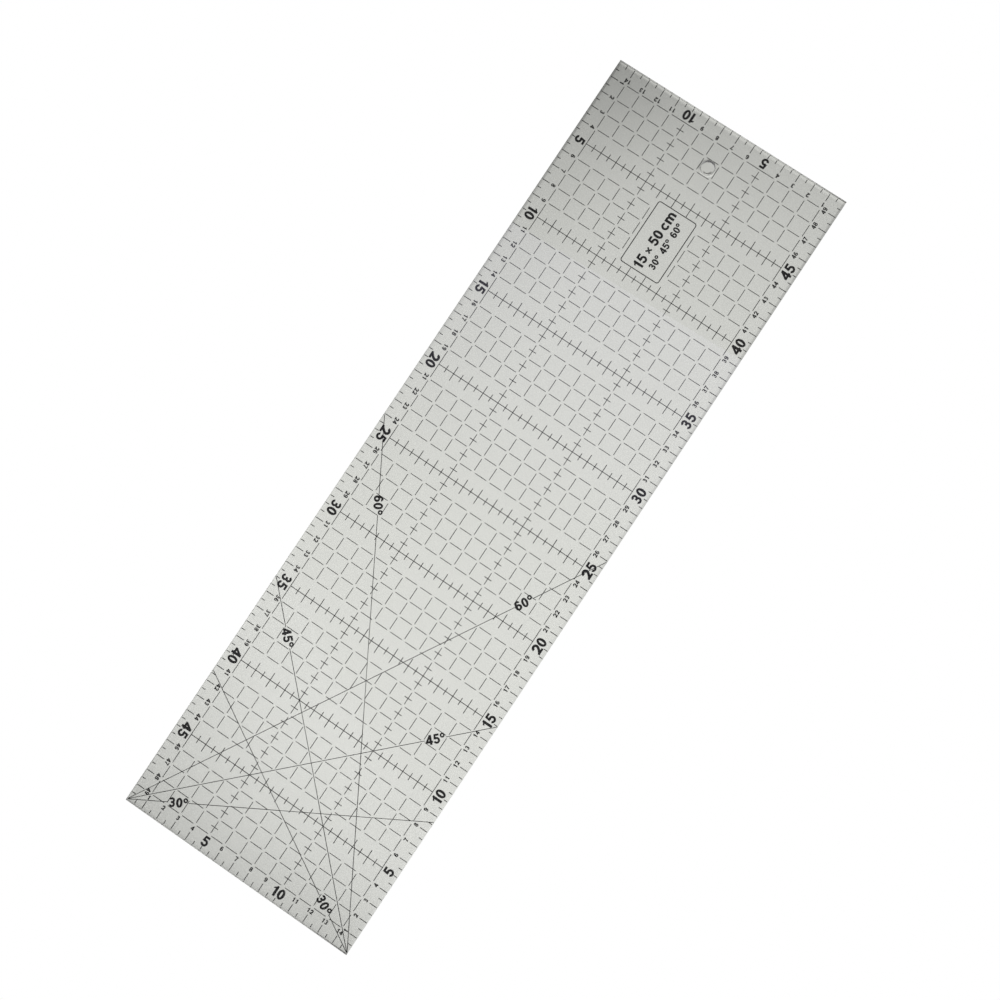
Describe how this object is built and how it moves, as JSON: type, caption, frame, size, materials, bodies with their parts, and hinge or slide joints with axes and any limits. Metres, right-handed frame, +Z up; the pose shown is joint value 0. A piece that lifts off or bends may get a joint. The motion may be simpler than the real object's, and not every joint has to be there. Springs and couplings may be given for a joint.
{
  "type": "quilting ruler",
  "caption": "Clear acrylic quilting ruler: a flat 15 by 50 cm sheet with a centimetre grid, edge scales, angle lines and a hanging hole.",
  "frame": {"origin": "centre of the underside, which is the printed face that lies on the fabric", "axes": "+X across the width, towards the edge whose figures count up along +Y; +Y along the length, towards the end with the hanging hole; +Z up, out of the bare upper face"},
  "size_m": [0.15, 0.5, 0.003],
  "materials": {
    "acrylic": "clear cast acrylic, polished faces, satin cut edges",
    "ink": "black screen-printing ink"
  },
  "bodies": {
    "root": {"acrylic_sheet": "acrylic", "thirty_degree_lines": "ink", "forty_five_degree_lines": "ink", "sixty_degree_lines": "ink", "angle_figures": "ink", "crosswise_dashes": "ink", "lengthwise_dashes": "ink", "margin_lines": "ink", "five_centimetre_cross_lines": "ink", "five_centimetre_long_lines": "ink", "label_frame": "ink", "size_mark": "ink", "bottom_edge_ticks": "ink", "bottom_edge_small_figures": "ink", "bottom_edge_large_figures": "ink", "right_edge_ticks": "ink", "right_edge_small_figures": "ink", "right_edge_large_figures": "ink", "top_edge_ticks": "ink", "top_edge_small_figures": "ink", "top_edge_large_figures": "ink", "left_edge_ticks": "ink", "left_edge_small_figures": "ink", "left_edge_large_figures": "ink"}
  },
  "joints": []
}
